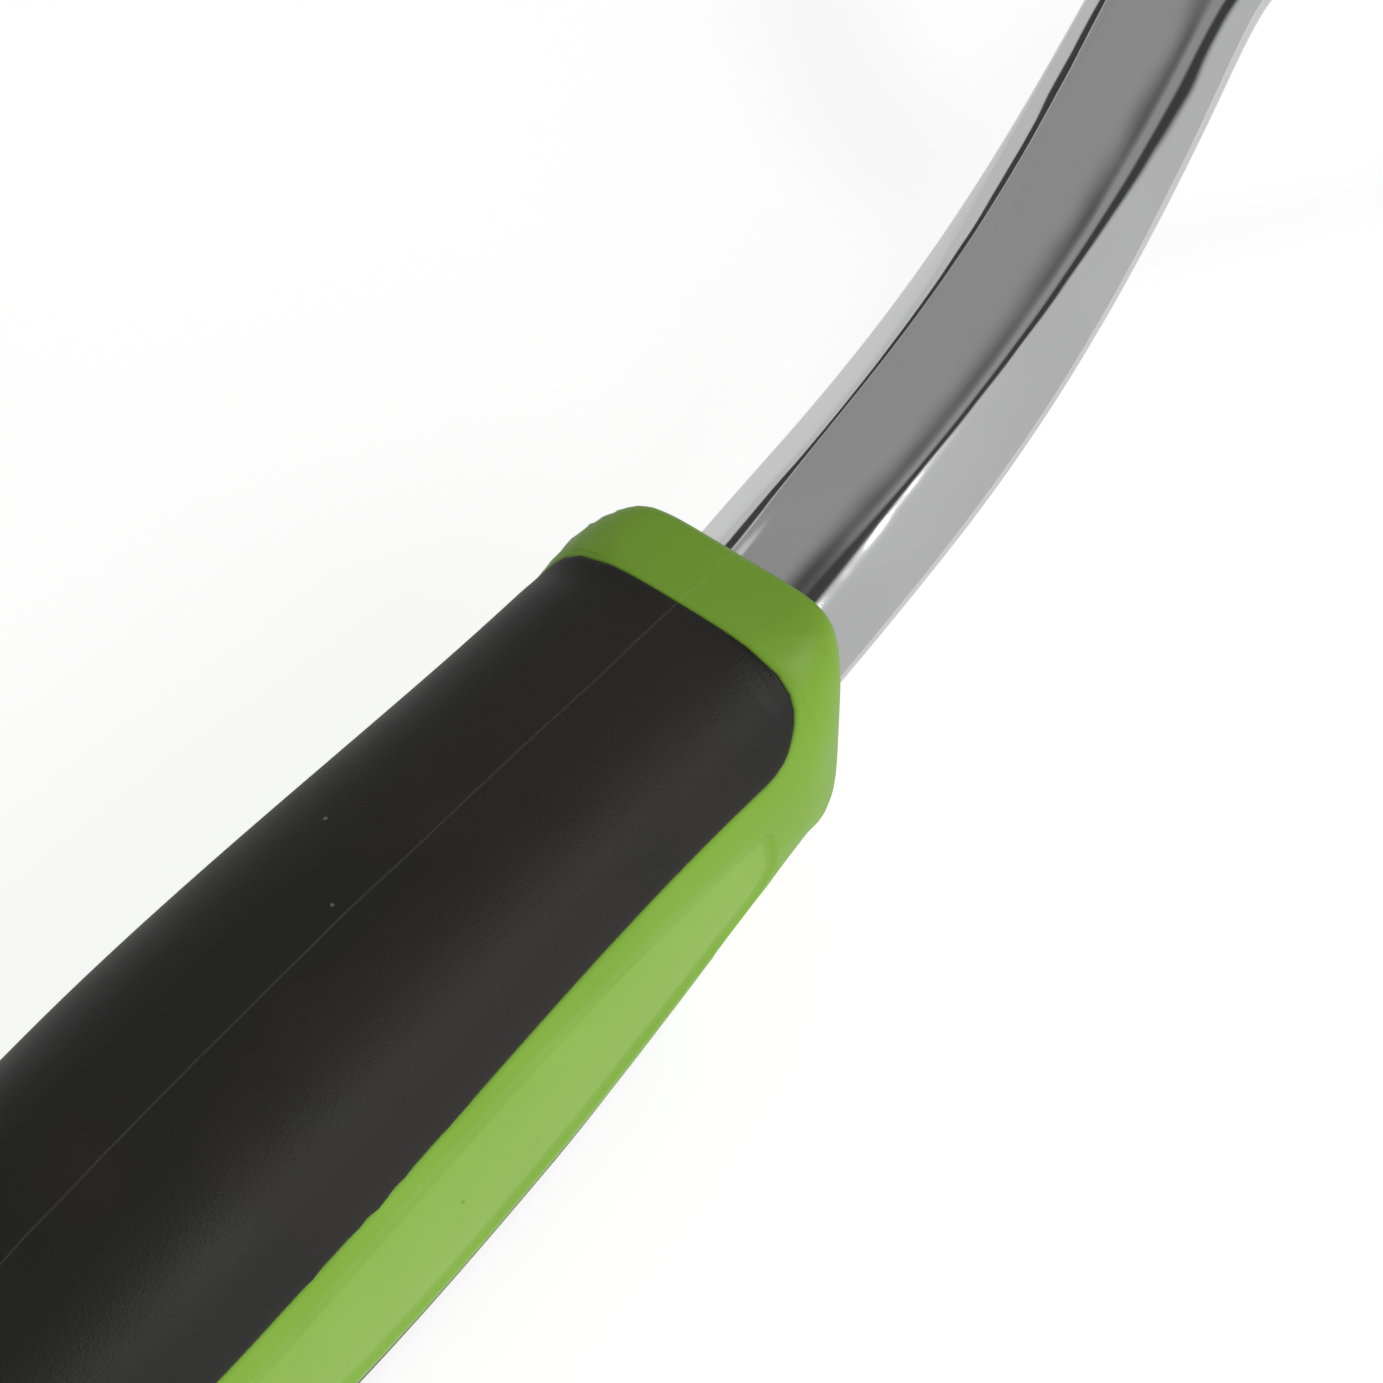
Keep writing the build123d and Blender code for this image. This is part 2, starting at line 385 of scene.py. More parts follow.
def window_grid(name, band, grow, sunk, ragged=None):
    """The grid of one window, moved outwards by grow and lying sunk under the outside."""
    w = WINDOWS[name]
    r0, r1, c0, c1 = window_cells(name, band)
    t = (STATIONS[r0:r1 + 1] - (w["front"] - LIP)) / (w["rear"] - w["front"] + 2 * LIP)
    d = w["front"] - grow + t * (w["rear"] - w["front"] + 2 * grow)
    angles = column_angles(d, grow)[:, c0:c1 + 1]
    if ragged is not None:
        share = np.linspace(0, 1, angles.shape[1]) ** 12
        angles = angles + (ragged(d) / 18)[:, None] * share
    return grip_surface(d[:, None], angles, sunk)


def around(grid):
    """The closed ring of points along the edge of a grid."""
    return np.concatenate([grid[0, :-1], grid[:-1, -1], grid[-1, :0:-1], grid[:0:-1, 0]])


print(len(STATIONS), "stations and", STARTS[-1], "columns")

# %% [markdown]
# ## The hard core of the grip
# On the real tool it is moulded over the tang in tough green plastic. One grid makes its outside.
# The window cells are left out and replaced by a rounded lip, a wall and a floor: pockets 2.4 mm deep
# for the pads, and panels sunk by less than half a millimetre for the fingers. The hang hole is made
# the same way, from a square block of cells that narrows to a circle and runs through with flared mouths.

# %% Hang hole
HOLE_AT = 115.0
HOLE_RADIUS = 4.0
HOLE_FLARE = 2.5
HOLE_BLOCK = 7.6
HOLE_COLUMNS = 24


def height_at(x, y, up):
    """Height of the core over a point: height (1 - |y/half|^n)^(1/n), valid behind the leaning collar."""
    half, height, n = grip_shape(-x, np.full(x.shape, up), CORE_INSET)
    return (1 if up else -1) * height * np.maximum(1 - np.abs(y / half) ** n, 0) ** (1 / n)


def hole_rings(edge, up):
    """Rings from a block's edge to the hole: straight blend to the mouth, quarter-circle flare, neck."""
    rings = [edge]
    x, y = edge[:, 0] + HOLE_AT, edge[:, 1]
    length = np.hypot(x, y)
    wide = HOLE_RADIUS + HOLE_FLARE
    sign = 1 if up else -1
    for t in np.linspace(0, 1, 6)[1:]:
        radius = length + (wide - length) * t
        px, py = x / length * radius - HOLE_AT, y / length * radius
        rings.append(np.stack([px, py, height_at(px, py, up)], -1))
    mouth = rings[-1]
    for turn in np.linspace(0, np.pi / 2, 9)[1:]:
        radius = wide - HOLE_FLARE * np.sin(turn)
        z = mouth[:, 2] - sign * HOLE_FLARE * (1 - np.cos(turn))
        rings.append(np.stack([x / length * radius - HOLE_AT, y / length * radius, z], -1))
    return rings


# %% Core of the grip
# each pair is how far outside the window line a ring lies and how deep, in mm
POCKET_DEPTH = 2.4
POCKET = ((LIP, 0.0), (0.2, 0.02), (0.08, 0.08), (0.0, 0.2), (0.0, 0.7), (0.0, POCKET_DEPTH))
PANEL = ((LIP, 0.0), (0.2, 0.03), (0.05, 0.12), (-0.1, 0.25), (-0.25, 0.35), (-0.45, 0.42), (-0.8, 0.45))


def core_mesh():
    """Outside grid, window pockets, hang hole and closed ends, welded into one solid."""
    work = Patchwork()
    outside = grip_surface(STATIONS[:, None], column_angles(STATIONS, LIP), CORE_INSET)
    skip = np.zeros((len(STATIONS) - 1, STARTS[-1]), bool)
    for name, bands in BAND.items():
        profile = PANEL if name == "scoop" else POCKET
        for band in bands:
            r0, r1, c0, c1 = window_cells(name, band)
            skip[r0:r1, c0:c1] = True
            grids = [window_grid(name, band, grow, CORE_INSET + deep) for grow, deep in profile]
            work.rings([around(g) for g in grids])
            # mark 1 on the floors of the scooped panels: in the green plastic they get a rougher finish and a
            # painted paler sheen
            work.grid(grids[-1], mark=1.0 if name == "scoop" else 0.0)
    rows = np.flatnonzero(abs(STATIONS - HOLE_AT) < HOLE_BLOCK)
    r0, r1 = rows[0], rows[-1]
    rings = []
    for name, up in (("top", True), ("finger", False)):
        c0, c1 = STARTS[BAND[name][0]], STARTS[BAND[name][0] + 1]
        middle = (c0 + c1) // 2
        left, right = middle - HOLE_COLUMNS, middle + HOLE_COLUMNS
        skip[r0:r1, left:right] = True
        block = outside[r0:r1 + 1, left:right + 1]
        rings.append(hole_rings(around(block if up else block[:, ::-1]), up))
    work.rings(rings[0])
    work.rings([rings[0][-1]] + rings[1][::-1])
    work.grid(outside, skip)
    front, rear = outside[0], outside[-1]
    for ring, bulge in ((front, 0.0), (rear, -0.18)):
        centre = ring[:-1].mean(0)
        steps = np.linspace(1, 0, 5)[:, None, None]
        cap = centre + (ring - centre) * steps
        cap[..., 0] += bulge * (1 - steps[..., 0] ** 2)
        work.grid(cap)
    return work.mesh("handle_body")


# %% [markdown]
# ## The soft pads
# Real pads of this kind are shot into the pockets in a second moulding step. They fill the pocket,
# stand a tenth of a millimetre proud of the hard plastic, and have a small rounded rim. A little
# ragged flash crept over the right-hand edge of the top pad while it was moulded.

# %% Pads
# each pair is how far outside the window line a ring lies and how deep, in mm
PAD_RIM = (
    (-0.35, 0.0), (-0.2, 0.03), (-0.1, 0.08), (-0.05, 0.16), (-0.03, 0.28), (-0.03, 1.2),
    (-0.03, POCKET_DEPTH - 0.02),
)


def flash(d):
    """Tiny teeth from 50 to 74 mm behind the drawing zero: a sum of sines, kept where positive."""
    teeth = np.sin(d * 5.1) + 0.7 * np.sin(d * 8.3 + 1) + 0.5 * np.sin(d * 2.3 + 2)
    return 0.16 * np.maximum(teeth, 0) * ease((d - 50) / 6) * ease((74 - d) / 5)


def pad_mesh(name, window, ragged=None):
    """Top grid, rounded rim, wall and underside of one pad, all from the same window outline."""
    work = Patchwork()
    band = BAND[window][0]
    grids = [window_grid(window, band, grow, sunk, ragged) for grow, sunk in PAD_RIM]
    work.grid(grids[0])
    work.rings([around(g) for g in grids])
    work.grid(grids[-1])
    return work.mesh(name)


# %% [markdown]
# ## The casting
# Neck, palm, tines and tang are cast in one piece and polished. Its line is a curve in the middle
# plane that climbs out of the grip, arches and comes down to the tips. A bevelled bar is carried
# along it. In the palm one ring of 28 points parts into three rings of 12, one for each tine, with
# two shared points in each crotch. A subdivision surface rounds this coarse cage like a polished
# casting.

# %% Line of the casting
NECK_TOP = 4.4
SPREAD = 37.0
SETBACK = 10.0
steps = np.arange(0, 260.0)
pitch_deg = 7.0 + 31.0 * ease((steps - 10) / 58) - 124.0 * ease((steps - 68) / 102)
pitch = np.radians(pitch_deg)
line_x = np.concatenate([[0.0], np.cumsum(np.cos(pitch[1:]))])
line_z = np.concatenate([[NECK_TOP], NECK_TOP + np.cumsum(np.sin(pitch[1:]))])
tip_level = -18.0 + 1.5 * math.cos(math.radians(-86.0))
end = int(np.flatnonzero((line_z <= tip_level) & (steps > 119))[0])
LINE_LENGTH = end - 1 + (line_z[end - 1] - tip_level) / (line_z[end - 1] - line_z[end])
print("line of the centre tine:", round(LINE_LENGTH, 2), "mm")


def line_at(s, side):
    """Top line of a tine: the middle curve, moved sideways by a smooth step and set back a little."""
    base = np.clip(np.floor(s), 0, end - 1).astype(int)
    t = s - base
    x = line_x[base] * (1 - t) + line_x[base + 1] * t - abs(side) * SETBACK * ease((s - 60) / 90)
    z = line_z[base] * (1 - t) + line_z[base + 1] * t
    return np.stack([x, side * SPREAD * ease((s - 50) / 74), z], -1)


def line_frame(s, side):
    """Left and up directions of the bar at s, across its line."""
    forward = line_at(s + 0.5, side) - line_at(s - 0.5, side)
    angle = pitch[np.clip(np.round(s), 0, end).astype(int)]
    up = np.stack([-np.sin(angle), np.zeros_like(angle), np.cos(angle)], -1)
    left = np.cross(up, forward)
    return left / np.linalg.norm(left, axis=-1, keepdims=True), up


def bar_sizes(s):
    """Top half width, half width, bevel drop and thickness at s: smooth steps, narrowing to the tip."""
    tine = ease((s - 52) / 70)
    tip = np.maximum(0.0, (s - LINE_LENGTH + 34) / 34) ** 1.5
    top = 4.5 - 1.9 * tine
    wide = 9.75 - 2.35 * ease(s / 75) - 2.75 * tine
    drop = 4.2 - 2.7 * ease((s - 14) / 44)
    thick = 8.2 - 1.8 * ease((s - 10) / 110)
    scale = 1 - 0.81 * tip
    return top * scale, wide * scale, drop * scale, thick + (1.5 - thick) * tip


# %% Sections of the casting


def section(s, slim=1.0):
    """Twelve cage points of the bevelled bar as (left, up): two beside each of the six corners."""
    top, wide, drop, thick = bar_sizes(s)
    top, wide = top * slim, wide * slim
    foot = wide * 0.66
    near = np.minimum(0.36 + 0.6 * (1 - ease((s - 4) / 12)), 0.4 * top)
    edge = np.minimum(0.5, 0.4 * top)
    low = np.minimum(1.5, 0.4 * foot)
    bevel = np.stack([wide - top, -drop], -1)
    bevel = bevel / np.linalg.norm(bevel, axis=-1, keepdims=True)
    flank = np.stack([foot - wide, drop - thick], -1)
    flank = flank / np.linalg.norm(flank, axis=-1, keepdims=True)
    zero = np.zeros_like(top)
    right_half = [
        np.stack([top - near, zero - 0.10], -1),
        np.stack([top, zero], -1) + bevel * near[:, None],
        np.stack([wide, -drop], -1) - bevel * edge[:, None],
        np.stack([wide, -drop], -1) + flank * edge[:, None],
        np.stack([foot, -thick], -1) - flank * low[:, None],
        np.stack([foot - low, -thick], -1),
    ]
    mirror = np.array([-1.0, 1.0])
    order = [1, 0], [0, 1, 2, 3, 4, 5], [5, 4, 3, 2]
    points = [right_half[k] for k in order[0]]
    points += [right_half[k] * mirror for k in order[1]]
    points += [right_half[k] for k in order[2]]
    return np.stack(points, 1)


def placed(flat, s, side):
    """Section points carried to their place on the line of a tine."""
    left, up = line_frame(s, side)
    return line_at(s, side)[:, None] + flat[..., :1] * left[:, None] + flat[..., 1:] * up[:, None]


TOP, BOTTOM = np.arange(0, 12), np.arange(14, 26)


def neck_section(s):
    """Twenty-eight cage points of the plain neck: the bar's corners, with ten points across each flat."""
    bar12 = section(s)
    flat = np.zeros((len(s), 28, 2))
    flat[:, [0, 11, 12, 13, 14, 25, 26, 27]] = bar12[:, [0, 3, 4, 5, 6, 9, 10, 11]]
    spread = np.linspace(1, -1, 10)
    flat[:, 1:11, 0] = bar12[:, 1:2, 0] * spread
    flat[:, 1:11, 1] = -0.36 * np.abs(spread) ** 2.5
    flat[:, 24:14:-1, 0] = bar12[:, 8:9, 0] * spread
    flat[:, 24:14:-1, 1] = bar12[:, 8:9, 1]
    return flat


# rings of the three tines inside the ring of the palm: -1 to -4 are the points in the two crotches
LEFT_RING = [0, 1, 2, 3, -1, -2, 22, 23, 24, 25, 26, 27]
MIDDLE_RING = [4, 5, 6, 7, -3, -4, 18, 19, 20, 21, -2, -1]
RIGHT_RING = [8, 9, 10, 11, 12, 13, 14, 15, 16, 17, -4, -3]
TINES = ((1, LEFT_RING, 0.97), (0, MIDDLE_RING, 1.0), (-1, RIGHT_RING, 0.97))
SPLIT = 79.0


def palm_rings(s):
    """Rings of 28 points that change from the neck section to three bars side by side."""
    neck = placed(neck_section(s), s, 0)
    bars = np.zeros_like(neck)
    for side, ring, slim in TINES:
        own = placed(section(s, slim), s, side)
        keep = [k for k in range(12) if ring[k] >= 0]
        bars[:, [ring[k] for k in keep]] = own[:, keep]
    between = line_at(s, 1)[:, 1] / 2
    for inner, outer, sign in (((4, 21), (3, 22), 1), ((7, 18), (8, 17), -1)):
        for k in inner:
            bars[:, k, 1] = sign * np.minimum(sign * bars[:, k, 1], between - 0.3)
        for k in outer:
            bars[:, k, 1] = sign * np.maximum(sign * bars[:, k, 1], between + 0.3)
    for k, sign, gap in ((5, 1, -0.9), (20, 1, -1.2), (2, 1, 0.9), (23, 1, 1.2)):
        limit = np.minimum if gap < 0 else np.maximum
        bars[:, k, 1] = limit(bars[:, k, 1], between + gap)
        other = {5: 6, 20: 19, 2: 9, 23: 16}[k]
        bars[:, other, 1] = -limit(-bars[:, other, 1], between + gap)
    part = ease((s - 60) / 19)[:, None, None]
    return neck * (1 - part) + bars * part


def tang_rings(x):
    """Rings of 28 points of the tang: a flat bar that tapers from 13 by 6 to 7 by 4.2 mm."""
    t = ((-x - 6) / 68)[:, None]
    half, high = 6.5 - 3.0 * t, 3.0 - 0.9 * t
    across = np.zeros((1, 28))
    tall = np.zeros((1, 28))
    across[0, TOP], tall[0, TOP] = np.linspace(1, -1, 12), 1
    across[0, BOTTOM], tall[0, BOTTOM] = np.linspace(-1, 1, 12), -1
    across[0, 12:14], tall[0, 12:14] = -1.06, (0.4, -0.4)
    across[0, 26:28], tall[0, 26:28] = 1.06, (-0.4, 0.4)
    x = np.broadcast_to(x[:, None], (len(x), 28))
    return np.stack([x, across * half, tall * high], -1)


# %% Cage of the casting


def tube_faces(count, rings, first):
    """Quads between rings of equally many points, numbered from first."""
    at = first + np.arange(rings * count).reshape(rings, count)
    turn = np.roll(at, -1, 1)
    return np.stack([at[:-1], turn[:-1], turn[1:], at[1:]], -1).reshape(-1, 4).tolist()


def casting_mesh():
    """Tang, neck and palm as one tube, then a tube for each tine, with capped ends."""
    tang = tang_rings(np.array([-74.0, -73.0, -55.0, -35.0, -18.0, -10.0]))
    s = np.array([-4.0, -1.0, 2.5, 6.0, 10.0, 15, 20, 26, 32, 38, 44, 50, 55, 60, 65, 70, 74.5, SPLIT])
    body = np.concatenate([tang, palm_rings(s)])
    points = [body.reshape(-1, 3)]
    rings = len(body)
    faces = tube_faces(28, rings, 0)
    last = (rings - 1) * 28
    total = rings * 28
    here = np.array([SPLIT])
    left, middle, right = (placed(section(here, slim), here, side)[0] for side, _, slim in TINES)
    beside = (left[4], middle[11]), (left[5], middle[10]), (middle[4], right[11]), (middle[5], right[10])
    crotch = np.stack([a + b for a, b in beside]) / 2
    points.append(crotch)
    number = {-1: total, -2: total + 1, -3: total + 2, -4: total + 3}
    total += 4
    for top, bottom, upper, lower in ((3, 21, -1, -2), (7, 17, -3, -4)):
        faces.append([last + top, last + top + 1, number[upper]])
        faces.append([last + bottom + 1, last + bottom, number[lower]][::-1])
    for side, ring, slim in TINES:
        near_tip = LINE_LENGTH - np.array([5.5, 2.5, 0.7, 0.0])
        s = np.concatenate([[81.5, 85.0], np.arange(90, LINE_LENGTH - 8, 5.5), near_tip])
        tine = placed(section(s, slim), s, side)
        points.append(tine.reshape(-1, 3))
        start = [number[k] if k < 0 else last + k for k in ring]
        first = list(range(total, total + 12))
        faces += [[start[k - 1], start[k], first[k], first[k - 1]] for k in range(12)]
        faces += tube_faces(12, len(s), total)
        tip = total + (len(s) - 1) * 12
        pairs = ((0, 1, 10, 11), (1, 2, 9, 10), (2, 3, 8, 9), (3, 4, 7, 8), (4, 5, 6, 7))
        faces += [[tip + k for k in pair] for pair in pairs]
        total += len(s) * 12
    for k in range(11):
        faces.append([k, k + 1, 24 - k, 25 - k])
    faces += [[11, 12, 13, 14], [25, 26, 27, 0]]
    mesh = bpy.data.meshes.new("tine_head")
    mesh.from_pydata(to_model(np.concatenate(points)).tolist(), [], faces)
    turn_outwards(mesh)
    mesh.polygons.foreach_set("use_smooth", np.ones(len(mesh.polygons), bool))
    return mesh


# %% [markdown]
# ## Finishes
# Three finishes share two effects: a grain group with fine grain, broad cloudiness and a few specks
# of dust, and a mould-line group for the hairline where the two halves of a mould met. Both read
# Object coordinates, so the patterns stay fixed to the tool.

# %% Node helpers


def node(tree, kind, inputs=None, **settings):
    """Adds a node, sets its properties, and links or sets its inputs by name or number."""
    made = tree.nodes.new(kind)
    for key, value in settings.items():
        setattr(made, key, value)
    for key, value in (inputs or {}).items():
        if isinstance(value, bpy.types.NodeSocket):
            tree.links.new(value, made.inputs[key])
        else:
            made.inputs[key].default_value = value
    return made


def maths(tree, operation, *values):
    """A Math node's result."""
    return node(tree, "ShaderNodeMath", dict(enumerate(values)), operation=operation).outputs[0]


def mixed(tree, factor, first, second):
    """A colour mix's result."""
    return node(tree, "ShaderNodeMix", {0: factor, 6: first, 7: second}, data_type="RGBA").outputs[2]


def ramp(tree, value, low, high, to_low=0.0, to_high=1.0):
    """Value mapped smoothly from low..high to to_low..to_high."""
    inputs = {0: value, 1: low, 2: high, 3: to_low, 4: to_high}
    return node(tree, "ShaderNodeMapRange", inputs, interpolation_type="SMOOTHSTEP").outputs[0]


def new_group(name, inputs, outputs):
    """An empty shader group with named float and vector inputs and float outputs."""
    group = bpy.data.node_groups.new(name, "ShaderNodeTree")
    for label, kind in inputs:
        group.interface.new_socket(label, in_out="INPUT", socket_type=kind)
    for label in outputs:
        group.interface.new_socket(label, in_out="OUTPUT", socket_type="NodeSocketFloat")
    return group, group.nodes.new("NodeGroupInput"), group.nodes.new("NodeGroupOutput")


# %% Grain group
grain_group, entry, leave = new_group(
    "moulded_grain",
    [("Vector", "NodeSocketVector"), ("Grain Scale", "NodeSocketFloat"), ("Cloud Scale", "NodeSocketFloat"),
     ("Speck Scale", "NodeSocketFloat")],
    ["Grain", "Cloud", "Specks"],
)
grain = node(grain_group, "ShaderNodeTexNoise",
             {"Vector": entry.outputs[0], "Scale": entry.outputs[1], "Detail": 3.0})
cloud = node(grain_group, "ShaderNodeTexNoise",
             {"Vector": entry.outputs[0], "Scale": entry.outputs[2], "Detail": 2.0, "Distortion": 0.4})
speck = node(grain_group, "ShaderNodeTexVoronoi", {"Vector": entry.outputs[0], "Scale": entry.outputs[3]})
chosen = node(grain_group, "ShaderNodeSeparateColor", {0: speck.outputs["Color"]})
dot = ramp(grain_group, speck.outputs["Distance"], 0.03, 0.09, 1.0, 0.0)
rare = ramp(grain_group, chosen.outputs[0], 0.88, 0.9)
grain_group.links.new(grain.outputs[0], leave.inputs["Grain"])
grain_group.links.new(cloud.outputs[0], leave.inputs["Cloud"])
grain_group.links.new(maths(grain_group, "MULTIPLY", dot, rare), leave.inputs["Specks"])

# %% Mould line group
line_group, entry, leave = new_group(
    "mould_line",
    [("Vector", "NodeSocketVector"), ("Half Width", "NodeSocketFloat")],
    ["Line"],
)
wobble = node(line_group, "ShaderNodeTexNoise", {"Vector": entry.outputs[0], "Scale": 90.0})
shift = maths(line_group, "MULTIPLY", maths(line_group, "SUBTRACT", wobble.outputs[0], 0.5), 0.0004)
place = node(line_group, "ShaderNodeSeparateXYZ", {0: entry.outputs[0]})
off = maths(line_group, "ABSOLUTE", maths(line_group, "ADD", place.outputs[1], shift))
line_group.links.new(ramp(line_group, off, 0.0, entry.outputs[1], 1.0, 0.0), leave.inputs["Line"])


def grouped(tree, group, **values):
    """A placed group; names with an underscore stand for its input names with a space."""
    return node(tree, "ShaderNodeGroup", {k.replace("_", " "): v for k, v in values.items()}, node_tree=group)


def new_material(name, **constants):
    """A material with its Principled shader, whose constants are set on its own sockets."""
    material = bpy.data.materials.new(name)
    material.use_nodes = True
    shader = material.node_tree.nodes["Principled BSDF"]
    for key, value in constants.items():
        shader.inputs[key.replace("_", " ")].default_value = value
    where = material.node_tree.nodes.new("ShaderNodeTexCoord").outputs["Object"]
    return material, material.node_tree, shader, where


def bumped(tree, height, distance, strength, under=None):
    """A Bump node's normal, over another one if given."""
    inputs = {"Height": height, "Distance": distance, "Strength": strength}
    if under is not None:
        inputs["Normal"] = under
    return node(tree, "ShaderNodeBump", inputs).outputs[0]


# %% [markdown]
# ### Green moulded plastic
# A satin polypropylene. Its colour is even, with faint clouds. The scooped finger panels come from a
# part of the mould with a finer texture, so they are a little duller. Their colour is also mixed paler,
# a painted sheen that stands in for the pale grazing reflection on them. A hairline runs along the middle
# of the top, and a few specks of dust stuck to it.

# %% Green plastic
green, tree, shader, where = new_material("green_plastic", IOR=1.49, Specular_IOR_Level=0.45)
effects = grouped(tree, grain_group, Vector=where, Grain_Scale=5200.0, Cloud_Scale=70.0, Speck_Scale=260.0)
hairline = grouped(tree, line_group, Vector=where, Half_Width=0.00022)
panel = node(tree, "ShaderNodeAttribute", attribute_name="panel").outputs["Fac"]
cloudy = ramp(tree, effects.outputs["Cloud"], 0.3, 0.7)
colour = mixed(tree, cloudy, (0.212, 0.425, 0.030, 1), (0.232, 0.455, 0.040, 1))
# painted sheen: the colour of the scooped panels is mixed 35 % of the way to a pale green, standing in for
# their grazing reflection
colour = mixed(tree, maths(tree, "MULTIPLY", panel, 0.35), colour, (0.330, 0.560, 0.110, 1))
colour = mixed(tree, maths(tree, "MULTIPLY", hairline.outputs[0], 0.15), colour, (0.38, 0.60, 0.16, 1))
colour = mixed(tree, maths(tree, "MULTIPLY", effects.outputs["Specks"], 0.5), colour, (0.10, 0.22, 0.02, 1))
rough = maths(tree, "MULTIPLY_ADD", effects.outputs["Grain"], 0.14, 0.36)
rough = maths(tree, "MULTIPLY_ADD", panel, 0.10, rough)
relief = maths(tree, "MULTIPLY_ADD", hairline.outputs[0], 0.4, effects.outputs["Grain"])
tree.links.new(colour, shader.inputs["Base Color"])
tree.links.new(rough, shader.inputs["Roughness"])
tree.links.new(bumped(tree, relief, 0.00003, 0.5), shader.inputs["Normal"])

# %% [markdown]
# ### Black soft rubber
# A thermoplastic rubber with a very fine grain. It shows a broad soft gloss, faint clouds where hands
# and mould release left their trace, specks of dust, and the hairline of the mould.

# %% Black rubber
black, tree, shader, where = new_material("black_rubber", IOR=1.5, Specular_IOR_Level=0.5)
effects = grouped(tree, grain_group, Vector=where, Grain_Scale=3800.0, Cloud_Scale=45.0, Speck_Scale=330.0)
hairline = grouped(tree, line_group, Vector=where, Half_Width=0.00016)
cloudy = ramp(tree, effects.outputs["Cloud"], 0.35, 0.65)
colour = mixed(tree, cloudy, (0.0122, 0.0117, 0.0108, 1), (0.0185, 0.0172, 0.0148, 1))
colour = mixed(tree, maths(tree, "MULTIPLY", hairline.outputs[0], 0.55), colour, (0.06, 0.06, 0.055, 1))
colour = mixed(tree, maths(tree, "MULTIPLY", effects.outputs["Specks"], 0.9), colour, (0.24, 0.23, 0.20, 1))
rough = ramp(tree, effects.outputs["Cloud"], 0.25, 0.75, 0.46, 0.56)
rough = maths(tree, "MULTIPLY_ADD", effects.outputs["Grain"], 0.10, rough)
relief = maths(tree, "MULTIPLY_ADD", hairline.outputs[0], 1.0, effects.outputs["Grain"])
tree.links.new(colour, shader.inputs["Base Color"])
tree.links.new(rough, shader.inputs["Roughness"])
tree.links.new(bumped(tree, relief, 0.00006, 0.6), shader.inputs["Normal"])

# %% [markdown]
# ### Polished casting
# Aluminium polished on a soft wheel: a mirror that is not quite flat, with gentle waves that bend
# the edges of reflections, faint hazy patches, and fine wheel marks along the bar.

# %% Polished casting
metal, tree, shader, where = new_material("polished_casting", Metallic=1.0)
effects = grouped(tree, grain_group, Vector=where, Grain_Scale=900.0, Cloud_Scale=55.0, Speck_Scale=210.0)
stretched = node(tree, "ShaderNodeMapping", {"Vector": where, "Scale": (60.0, 5200.0, 900.0)}).outputs[0]
marks = node(tree, "ShaderNodeTexNoise", {"Vector": stretched, "Scale": 1.0, "Detail": 2.0}).outputs[0]
cloudy = ramp(tree, effects.outputs["Cloud"], 0.35, 0.65)
colour = mixed(tree, cloudy, (0.84, 0.84, 0.845, 1), (0.88, 0.88, 0.885, 1))
colour = mixed(tree, maths(tree, "MULTIPLY", effects.outputs["Specks"], 0.4), colour, (0.35, 0.35, 0.35, 1))
rough = maths(tree, "MULTIPLY_ADD", marks, 0.04, ramp(tree, effects.outputs["Cloud"], 0.3, 0.7, 0.05, 0.09))
waves = node(tree, "ShaderNodeTexNoise", {"Vector": where, "Scale": 130.0, "Detail": 1.0}).outputs[0]
wavy = bumped(tree, waves, 0.0008, 0.22)
tree.links.new(colour, shader.inputs["Base Color"])
tree.links.new(rough, shader.inputs["Roughness"])
tree.links.new(bumped(tree, marks, 0.000004, 0.25, wavy), shader.inputs["Normal"])

# %% [markdown]
# ## The pieces in place
# Each mesh takes the place of its CAD node and rides on the tool's one rigid body.

# %% Grip pieces
show(core_mesh(), green, "handle_core")
show(pad_mesh("top_pad", "top", flash), black, "grip_top_pad")
show(pad_mesh("finger_pad", "finger"), black, "grip_finger_pad")

# %% Casting piece
head = show(casting_mesh(), metal, "tine_head_casting")
smooth = head.modifiers.new("polish", "SUBSURF")
smooth.levels = smooth.render_levels = 3
smooth.uv_smooth = "NONE"

# %% [markdown]
# ## Studio
# A pale table that glows a little, as a light table in a studio does, a small key light above, a
# broad soft light from the tool's right, and a room whose grey panels are what the metal mirrors.

# %% Floor
floor_mesh = bpy.data.meshes.new("floor")
reach = 6.0
corners = [(-reach, -reach, 0), (reach, -reach, 0), (reach, reach, 0), (-reach, reach, 0)]
floor_mesh.from_pydata(corners, [], [(0, 1, 2, 3)])
floor = bpy.data.objects.new("floor", floor_mesh)
floor.location.z = -0.0003
bpy.context.scene.collection.objects.link(floor)
paper, tree, shader, where = new_material("pale_table", Roughness=0.9, Specular_IOR_Level=0.0)
shader.inputs["Base Color"].default_value = (0.45, 0.45, 0.45, 1)
shader.inputs["Emission Color"].default_value = (1, 1, 1, 1)
mirrored = node(tree, "ShaderNodeLightPath").outputs["Is Glossy Ray"]
tree.links.new(ramp(tree, mirrored, 0.0, 1.0, 0.76, 0.40), shader.inputs["Emission Strength"])
floor_mesh.materials.append(paper)

# %% Room
world = bpy.data.worlds.new("studio")
bpy.context.scene.world = world
world.use_nodes = True
tree = world.node_tree
background = tree.nodes["Background"]
background.inputs["Color"].default_value = (1, 1, 1, 1)
direction = node(tree, "ShaderNodeTexCoord").outputs["Generated"]
axis = node(tree, "ShaderNodeSeparateXYZ", {0: direction})
x, y, z = axis.outputs


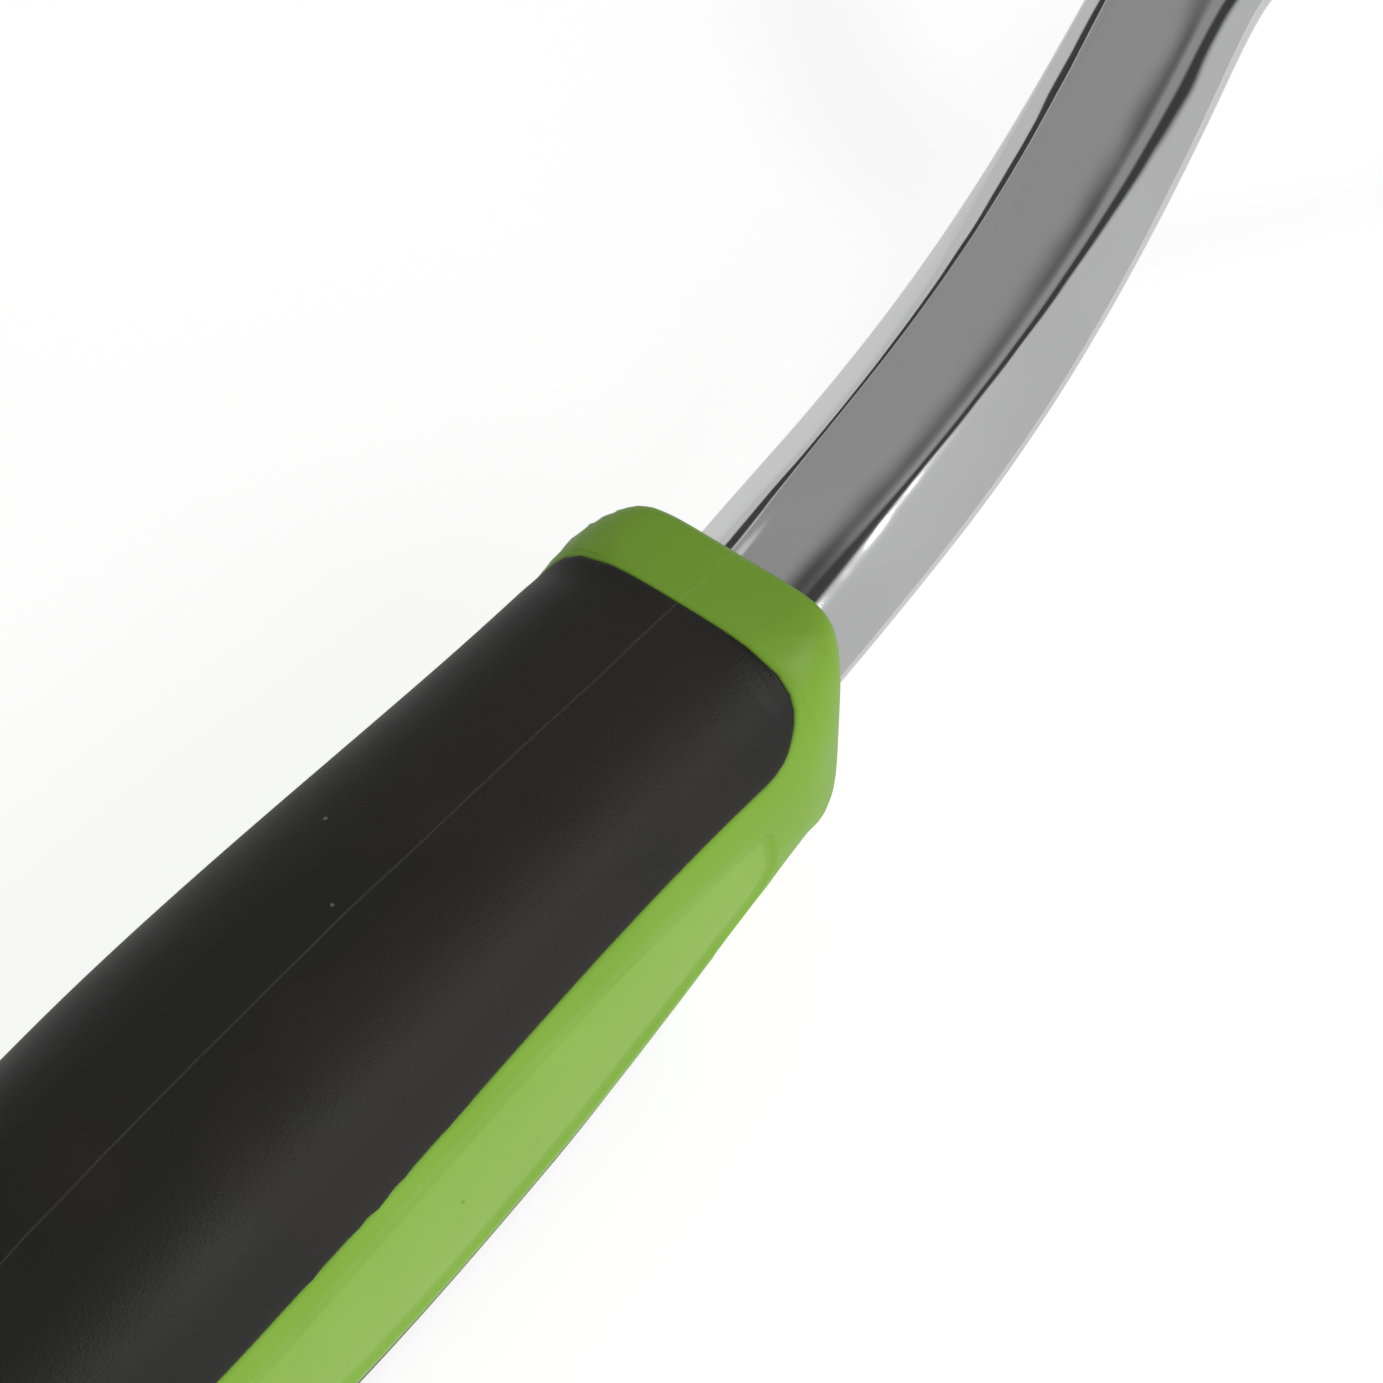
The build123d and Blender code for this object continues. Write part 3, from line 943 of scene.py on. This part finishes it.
def between(value, low, high, soft_low, soft_high):
    """One inside low..high, with a smooth step of its own width at each end."""
    rising = ramp(tree, value, low, low + soft_low)
    return maths(tree, "MULTIPLY", rising, ramp(tree, value, high - soft_high, high, 1.0, 0.0))


# each panel: its brightness, then the low end, high end and soft widths of its y, x and z directions
level = 0.05
for strength, in_y, in_x, in_z in (
    (0.24, (0.02, 0.77, 0.37, 0.02), (-0.95, 0.80, 0.20, 0.20), (0.30, 1.5, 0.05, 0.1)),
    (0.34, (0.725, 0.77, 0.01, 0.01), (-0.80, 0.90, 0.10, 0.10), (0.30, 1.5, 0.05, 0.1)),
    (0.50, (0.40, 1.5, 0.30, 0.1), (-1.50, 1.50, 0.10, 0.10), (-1.5, 0.27, 0.1, 0.03)),
    (0.46, (-1.50, -0.26, 0.10, 0.14), (-1.50, 1.50, 0.10, 0.10), (-1.5, 1.5, 0.1, 0.1)),
):
    shape = maths(tree, "MULTIPLY", between(y, *in_y), between(x, *in_x))
    shape = maths(tree, "MULTIPLY", shape, between(z, *in_z))
    level = maths(tree, "MULTIPLY_ADD", shape, strength, level)
paths = node(tree, "ShaderNodeLightPath")
mirrored = paths.outputs["Is Glossy Ray"]
plain = maths(tree, "MULTIPLY_ADD", paths.outputs["Is Camera Ray"], 0.65, 0.25)
strength = node(tree, "ShaderNodeMix", {0: mirrored, 2: plain, 3: level}, data_type="FLOAT").outputs[0]
tree.links.new(strength, background.inputs["Strength"])

# %% Lights


def area_light(name, toward, distance, size, power, mirrored):
    """A round light facing the grip from a direction, seen in mirrors only if asked."""
    data = bpy.data.lights.new(name, "AREA")
    data.shape = "DISK"
    data.size = size
    data.energy = power
    lamp = bpy.data.objects.new(name, data)
    aim = Vector(toward).normalized()
    lamp.location = target + aim * distance
    lamp.rotation_mode = "QUATERNION"
    lamp.rotation_quaternion = aim.to_track_quat("Z", "Y")
    lamp.visible_glossy = mirrored
    bpy.context.scene.collection.objects.link(lamp)
    return lamp


area_light("key", (0.31, -0.41, 0.855), 1.2, 0.20, 2.4, True)
area_light("side", (-0.15, -0.85, 0.50), 1.2, 0.8, 6.1, False)
